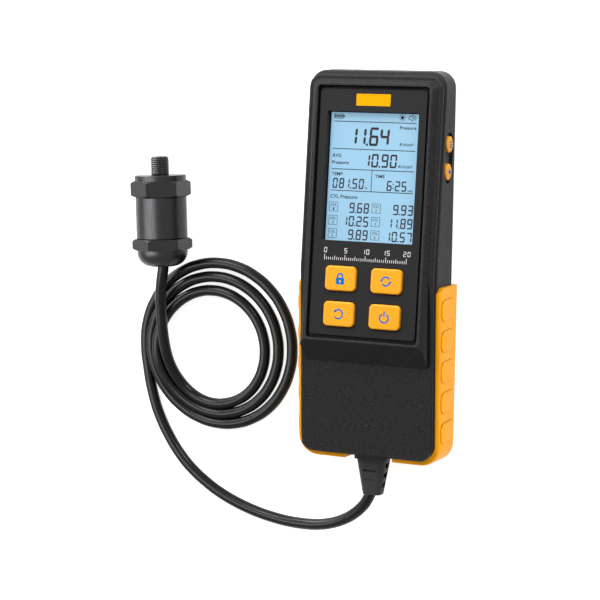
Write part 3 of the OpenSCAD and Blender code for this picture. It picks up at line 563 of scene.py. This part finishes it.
def draw_lock(ink):
    """Padlock whose body is drawn around its keyhole."""
    centre = (0, -1.3)
    half_w, half_h, corner_r = 2.3, 1.75, 2.62
    hole_r, slot_r, slot_half = 0.55, 1.05, 20

    def body(degrees):
        along, up = abs(math.cos(math.radians(degrees))), abs(math.sin(math.radians(degrees)))
        return min(half_w / max(along, 0.01), half_h / max(up, 0.01), corner_r)

    def hole(degrees):
        return slot_r if abs(degrees - 270) < slot_half else hole_r

    steps = [5 * step for step in range(73)]
    for first, second in zip(steps, steps[1:]):
        middle = (first + second) / 2
        draw_polygon(ink, [polar(centre, hole(middle), first), polar(centre, body(first), first),
                           polar(centre, body(second), second), polar(centre, hole(middle), second)])
    draw_arc(ink, (0, 1.1), 1.4, MARK_STROKE, 0, 180)
    for side in (-1.4, 1.4):
        draw_bar(ink, side - MARK_STROKE / 2, 0.4, side + MARK_STROKE / 2, 1.1)


def draw_refresh(ink):
    """Two arrows that follow each other round a circle."""
    for turn in (0, 180):
        draw_arc(ink, (0, 0), 2.2, MARK_STROKE, turn + 32, turn + 166)
        draw_head(ink, polar((0, 0), 2.25, turn + 194), turn + 278, 1.4, 1.9)


def draw_undo(ink):
    """An open circle that ends in an arrow."""
    draw_arc(ink, (0, 0), 2.3, MARK_STROKE, -145, 146)
    draw_head(ink, polar((0, 0), 2.55, 161), 226, 1.3, 2)


def draw_power(ink):
    """An open circle with a bar in its gap."""
    draw_arc(ink, (0, -0.4), 2.3, MARK_STROKE, 122, 418)
    draw_bar(ink, -MARK_STROKE / 2, 0.4, MARK_STROKE / 2, 3.1)


def draw_bars(ink):
    """Three level bars."""
    for row in (-1.3, 0, 1.3):
        draw_bar(ink, -1.5, row - 0.38, 1.5, row + 0.38)


def draw_diamond(ink):
    """A filled square that stands on its corner."""
    draw_polygon(ink, [(0, 1.7), (-1.7, 0), (0, -1.7), (1.7, 0)])


# Column and row of each front key, and its mark
FRONT_KEYS = {
    "key_lock": (-1, 1, draw_lock),
    "key_refresh": (1, 1, draw_refresh),
    "key_undo": (-1, -1, draw_undo),
    "key_power": (1, -1, draw_power),
}

# The side keys look out of the casing's right side, and their tops are domed
SIDE_KEYS = {"side_key_upper": (66.8, draw_bars), "side_key_lower": (53, draw_diamond)}
SIDE_KEY_DROP = 11.4
SIDE_KEY_TOP = 38.3
SIDE_KEY_DOME = 10.9
DOME_CUTS = 5


def add_key_marks():
    """The blue mark on each key, which moves with it; on a side key it follows the dome."""
    for key, (column, row, draw) in FRONT_KEYS.items():
        ink = bmesh.new()
        draw(ink)
        x, y = column * KEY_PITCH[0] / 2, KEY_BLOCK_Y + row * KEY_PITCH[1] / 2
        place = on_head(x, y, KEY_TOP + PRINT_LIFT)
        add_drawing(key + "_mark", ink, BLUE_INK, key, place)
    for key, (y, draw) in SIDE_KEYS.items():
        ink = bmesh.new()
        draw(ink)
        bmesh.ops.subdivide_edges(ink, edges=ink.edges, cuts=DOME_CUTS, use_grid_fill=True)
        for vertex in ink.verts:
            reach = vertex.co.x ** 2 + vertex.co.y ** 2
            vertex.co.z = math.sqrt(SIDE_KEY_DOME ** 2 - reach) - SIDE_KEY_DOME
        outwards = Matrix.Rotation(math.pi / 2, 4, "Y")
        place = on_head(SIDE_KEY_TOP + PRINT_LIFT, y, -SIDE_KEY_DROP) @ outwards
        add_drawing(key + "_mark", ink, BLUE_INK, key, place)


# Plain marks on the panel

PANEL_PRINT = PANEL_TOP + PRINT_LIFT
BAR_Y = 87.2
BAR_SIZE = (18.6, 6)
SCALE_Y = 5.8
SCALE_STEPS = 40
SCALE_PITCH = 1.12
TICK_W = 0.32
LONG_TICK, MIDDLE_TICK, SHORT_TICK = 2.7, 2.1, 1.4

# Baseline, height, width of a digit and pitch
SCALE_NUMBER = (3.6, 2.6, 1.6, 2.3)


def add_panel_marks():
    """A bare amber bar above the screen, and below it a white scale from 0 to 20."""
    bar = bmesh.new()
    half_w, half_h = (size / 2 for size in BAR_SIZE)
    draw_bar(bar, -half_w, -half_h, half_w, half_h)
    add_drawing("panel_bar", bar, AMBER_INK, BODY, on_head(0, BAR_Y, PANEL_PRINT))
    scale = bmesh.new()
    for step in range(SCALE_STEPS + 1):
        x = SCALE_PITCH * (step - SCALE_STEPS / 2)
        height = LONG_TICK if step % 10 == 0 else MIDDLE_TICK if step % 5 == 0 else SHORT_TICK
        draw_bar(scale, x - TICK_W / 2, 0, x + TICK_W / 2, height)
        if step % 10 == 0:
            number = str(step // 2)
            draw_number(scale, number, x + (1.1 if len(number) == 1 else 2), *SCALE_NUMBER)
    add_drawing("panel_scale", scale, WHITE_INK, BODY, on_head(0, SCALE_Y, PANEL_PRINT))


# Cable

CABLE_D = 6

# Middle line of the cable from the strain relief to the coil, and from the coil into the sensor's cap
TAIL_ROUTE = (
    (50, -104, 15), (50, -109.5, 15), (49.64, -114.2, 15), (48.36, -118.7, 14.85),
    (46.35, -122.7, 14.3), (43.84, -126.1, 13.5), (38, -131.4, 12), (31.2, -135.6, 10.3),
    (23.9, -138.6, 8.7), (17.7, -140.3, 7.4), (10.5, -141.4, 6.1), (3, -141.8, 5),
    (-5, -141.6, 4.2), (-12.5, -140.8, 3.6), (-20, -139.5, 3.3), (-27.5, -137.6, 3.2),
    (-34.5, -135.3, 3.2), (-41.5, -132.5, 3.2), (-48, -129.3, 3.2), (-54.1, -125.6, 3.2),
    (-61.6, -120.2, 3.2), (-68.5, -113.7, 3.2), (-76.6, -103.2, 3.2), (-83.6, -90.4, 3.2),
    (-86.7, -82, 3.2), (-90.4, -66, 3.2),
)
LEAD_ROUTE = (
    (-49.3, -81.8, 3.25), (-55.2, -80.9, 3.25), (-60.8, -78.7, 3.45), (-65.7, -75.2, 4.1),
    (-69.6, -70.7, 5.4), (-72.6, -65.5, 7), (-74.7, -59.9, 8.5), (-76, -54, 9.8),
    (-76.7, -48.1, 10.8), (-77.1, -42.1, 11.8), (-77.2, -36.1, 12.6), (-77.2, -30.1, 13.4),
    (-76.8, -22, 14.6), (-75.6, -14.5, 15.7), (-74.56, -8.1, 16.17), (-74.79, -2.6, 16.17),
)
COIL_TURNS = 2.71
COIL_STEPS = 24
COIL_CENTRE = (-47.6, -49.5)
COIL_R = 44.5
COIL_LIFT = 0.25

# From one turn to the next: the change in x and y of its centre, and in its radius
TURN_STEP = (-1.65, -1.1, -6.45)
SETTLE_FROM = 0.6
SIDE_LIFT = 2.2


def coil_point(turn):
    """Point of the flat coil, wound inwards from its left side; each turn settles inside the last."""
    whole = math.floor(turn)
    share = min(1, max(0, (turn - whole - SETTLE_FROM) / (1 - SETTLE_FROM)))
    level = whole + share * share * (3 - 2 * share)
    x, y, radius = (base + level * step for base, step in zip((*COIL_CENTRE, COIL_R), TURN_STEP))
    angle = math.pi * (1 - 2 * turn)
    lean = max(0, -math.cos(angle)) ** 3
    return (x + radius * math.cos(angle), y + radius * math.sin(angle),
            CABLE_D / 2 + COIL_LIFT + SIDE_LIFT * level * lean)


def add_cable():
    """The whole cable as one smooth curve."""
    coil = [coil_point(step / COIL_STEPS) for step in range(round(COIL_TURNS * COIL_STEPS) + 1)]
    route = [*TAIL_ROUTE, *coil, *LEAD_ROUTE]
    curve = bpy.data.curves.new("cable", "CURVE")
    curve.dimensions = "3D"
    curve.bevel_depth = CABLE_D / 2 * MM
    curve.bevel_resolution = 5
    curve.resolution_u = 6
    curve.use_fill_caps = True
    spline = curve.splines.new("BEZIER")
    spline.bezier_points.add(len(route) - 1)
    for point, place in zip(spline.bezier_points, route):
        point.co = Vector(place) * MM
        point.handle_left_type = point.handle_right_type = "AUTO"
    cable = bpy.data.objects.new("cable", curve)
    bpy.context.scene.collection.objects.link(cable)
    paint(cable, CABLE)
    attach(cable, BODY)
    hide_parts("cable_tail", "cable_coil", "cable_lead")
    return cable


# Sensor nose, along the sensor's axis: spigot, hexagon, collar and threaded stud

NOSE_STEPS = 240
NOSE_START = 37.6
SPIGOT_LEN = 5
SPIGOT_R = 11.25
SPIGOT_BORE_R = 9
CHANNEL_START = 3
CHANNEL_R = 2
HEX_LEN = 8.4
HEX_CHAMFER = 1.6
CHAMFER_STEPS = 6
CHAMFER_STEP_LEN = 0.16
COLLAR_LEN = 3
COLLAR_R = 13.85
COLLAR_EDGE = 0.2
STUD_LEN = 10
STUD_R = 5
STUD_ROOT_R = 4.4
STUD_STEPS = 100
STUD_RUN_IN = 0.6
STUD_TIP_R = 4
THREAD_PITCH = 1.0
THREAD_DEPTH = 0.36


def hex_radius(degrees):
    """Distance from the hexagon's middle to its side at an angle."""
    return HEX_AF / 2 / math.cos(math.radians(degrees % 60 - 30))


def nose_rings():
    """Heights along the sensor's axis with the radius at each angle, around the nose's section."""
    rings = []

    def ring(z, radius):
        rings.append((z, lambda degrees: radius))

    def hex_ring(z, limit):
        rings.append((z, lambda degrees: min(hex_radius(degrees), limit)))

    def thread_ring(z, crest):
        def radius(degrees):
            share = (z / THREAD_PITCH - degrees / 360) % 1
            return min(crest, STUD_R - THREAD_DEPTH * abs(2 * share - 1))
        rings.append((z, radius))

    ring(NOSE_START - SPIGOT_LEN, SPIGOT_BORE_R)
    ring(NOSE_START - SPIGOT_LEN, SPIGOT_R)
    ring(NOSE_START, SPIGOT_R)
    for step in range(CHAMFER_STEPS + 1):
        hex_ring(NOSE_START + CHAMFER_STEP_LEN * step, HEX_R - HEX_CHAMFER * (1 - step / CHAMFER_STEPS))
    collar = NOSE_START + HEX_LEN
    for step in range(CHAMFER_STEPS + 1):
        left = CHAMFER_STEPS - step
        hex_ring(collar - CHAMFER_STEP_LEN * left, HEX_R - HEX_CHAMFER * step / CHAMFER_STEPS)
    stud = collar + COLLAR_LEN
    ring(collar, COLLAR_R)
    ring(stud - COLLAR_EDGE, COLLAR_R)
    ring(stud, COLLAR_R - COLLAR_EDGE)
    ring(stud, STUD_ROOT_R)
    for step in range(1, STUD_STEPS + 1):
        z = STUD_LEN * step / STUD_STEPS
        thread_ring(stud + z, min(STUD_R, STUD_ROOT_R + STUD_RUN_IN * z, STUD_TIP_R + STUD_LEN - z))
    ring(stud + STUD_LEN, CHANNEL_R)
    ring(NOSE_START + CHANNEL_START, CHANNEL_R)
    ring(NOSE_START + CHANNEL_START, SPIGOT_BORE_R)
    return rings


def add_nose():
    """The sensor's nose again, with its thread cut as one helix."""
    drawing = bmesh.new()
    turns = [360 * step / NOSE_STEPS for step in range(NOSE_STEPS)]
    hoops = [[drawing.verts.new((*polar((0, 0), radius(turn), turn), z)) for turn in turns]
             for z, radius in nose_rings()]
    for lower, upper in zip(hoops, hoops[1:] + hoops[:1]):
        for step in range(NOSE_STEPS):
            drawing.faces.new((lower[step - 1], lower[step], upper[step], upper[step - 1]))
    bmesh.ops.recalc_face_normals(drawing, faces=drawing.faces)
    place = SENSOR @ Matrix.Rotation(SENSOR_ROLL, 4, "Z")
    nose = add_drawing("threaded_nose", drawing, GUNMETAL, BODY, place)
    nose.data.shade_smooth()
    nose.data.set_sharp_from_angle(angle=CREASE)
    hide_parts("sensor_nose")
    return nose


# Camera, light and floor; the lamps, the far clip and the floor's reach are in metres

CAMERA_PLACE = Vector((444.24, 109.23, 955.18))
CAMERA_RIGHT = Vector((0.90567038, 0.01463949, -0.4237297))
CAMERA_UP = Vector((-0.06566952, 0.9921866, -0.10608137))
LENS = 120
FILM_W = 36
FAR_CLIP = 10
WORLD_LIGHT = 0.24
FLOOR_REACH = 3
FLOOR_DROP = 0.2
FLOOR_GLOW = 0.86


def add_camera():
    """The photograph's viewpoint: a long lens above the right side of the screen."""
    data = bpy.data.cameras.new("camera")
    data.lens = LENS
    data.sensor_width = FILM_W
    data.clip_end = FAR_CLIP
    camera = bpy.data.objects.new("camera", data)
    back = CAMERA_RIGHT.cross(CAMERA_UP)
    turn = Matrix((CAMERA_RIGHT, CAMERA_UP, back)).transposed().to_4x4()
    camera.matrix_world = Matrix.Translation(CAMERA_PLACE * MM) @ turn
    bpy.context.scene.collection.objects.link(camera)
    bpy.context.scene.camera = camera


def add_lamp(name, place, aim, size, power, only=()):
    """A soft panel of light, in metres and watts, which may light only some pieces."""
    data = bpy.data.lights.new(name, "AREA")
    data.shape = "RECTANGLE"
    data.size, data.size_y = size
    data.energy = power
    lamp = bpy.data.objects.new(name, data)
    lamp.location = place
    lamp.rotation_euler = (Vector(aim) - Vector(place)).to_track_quat("-Z", "Y").to_euler()
    bpy.context.scene.collection.objects.link(lamp)
    if only:
        group = bpy.data.collections.new(name)
        for piece in only:
            group.objects.link(piece)
        lamp.light_linking.receiver_collection = group


def bright_to_camera(tree, strength, seen_strength=1):
    """One strength for rays from the camera, mirrors and glass, and another for the light on the object."""
    rays = tree.nodes.new("ShaderNodeLightPath")
    seen = rays.outputs["Is Camera Ray"]
    for kind in ("Is Glossy Ray", "Is Transmission Ray"):
        either = tree.nodes.new("ShaderNodeMath")
        either.operation = "MAXIMUM"
        tree.links.new(seen, either.inputs[0])
        tree.links.new(rays.outputs[kind], either.inputs[1])
        seen = either.outputs[0]
    level = tree.nodes.new("ShaderNodeMapRange")
    level.inputs["To Min"].default_value = strength
    level.inputs["To Max"].default_value = seen_strength
    tree.links.new(seen, level.inputs["Value"])
    return level.outputs["Result"]


def add_light(sensor_pieces, grips):
    """A white studio with soft panels of light; three of them light only some pieces."""
    world = bpy.data.worlds.new("studio")
    bpy.context.scene.world = world
    world.use_nodes = True
    background = world.node_tree.nodes["Background"]
    background.inputs["Color"].default_value = grey(1)
    strength = bright_to_camera(world.node_tree, WORLD_LIGHT)
    world.node_tree.links.new(strength, background.inputs["Strength"])
    add_lamp("key_light", (-0.45, 0.85, 0.85), (0, 0, 0), (0.5, 0.5), 13)
    add_lamp("right_light", (0.75, 0.9, 0.45), (0, 0, 0), (0.25, 0.4), 7)
    add_lamp("left_light", (-0.9, 0.3, 0.35), (0, 0, 0), (0.4, 0.6), 4)
    add_lamp("rim_light", (-0.45, 1.2, 0.2), (0.05, 0.05, 0.02), (0.9, 0.3), 4)
    add_lamp("sensor_light", (-0.5, -0.12, 0.87), (-0.06, -0.02, 0), (0.45, 0.9), 10, sensor_pieces)
    add_lamp("grip_light", (0.7, -0.75, 0.35), (0.05, -0.05, 0.01), (0.5, 0.3), 4.5, grips)
    add_lamp("nose_light", (-0.667, 0.586, 0.109), (-0.075, 0.05, 0.016), (0.4, 0.25), 8, sensor_pieces)


def add_floor():
    """Pale floor that keeps the object's shadow and reads white."""
    mesh = bpy.data.meshes.new("floor")
    drawing = bmesh.new()
    draw_bar(drawing, -FLOOR_REACH, -FLOOR_REACH, FLOOR_REACH, FLOOR_REACH)
    drawing.to_mesh(mesh)
    drawing.free()
    floor = bpy.data.objects.new("floor", mesh)
    floor.location = (0, 0, -FLOOR_DROP * MM)
    bpy.context.scene.collection.objects.link(floor)
    material, tree, shader = new_material("floor", grey(0.85), 0.9)
    shader.inputs["Emission Color"].default_value = grey(1)
    tree.links.new(bright_to_camera(tree, 0, FLOOR_GLOW), shader.inputs["Emission Strength"])
    paint(floor, material)


bpy.context.scene.view_settings.view_transform = "Standard"
add_camera()
add_floor()
finish_solids()
threaded_nose = add_nose()
cable = add_cable()
add_light((nodes["sensor_barrel"], nodes["sensor_cap"], threaded_nose, cable),
          (nodes["left_grip"], nodes["right_grip"]))
add_screen_print()
add_key_marks()
add_panel_marks()
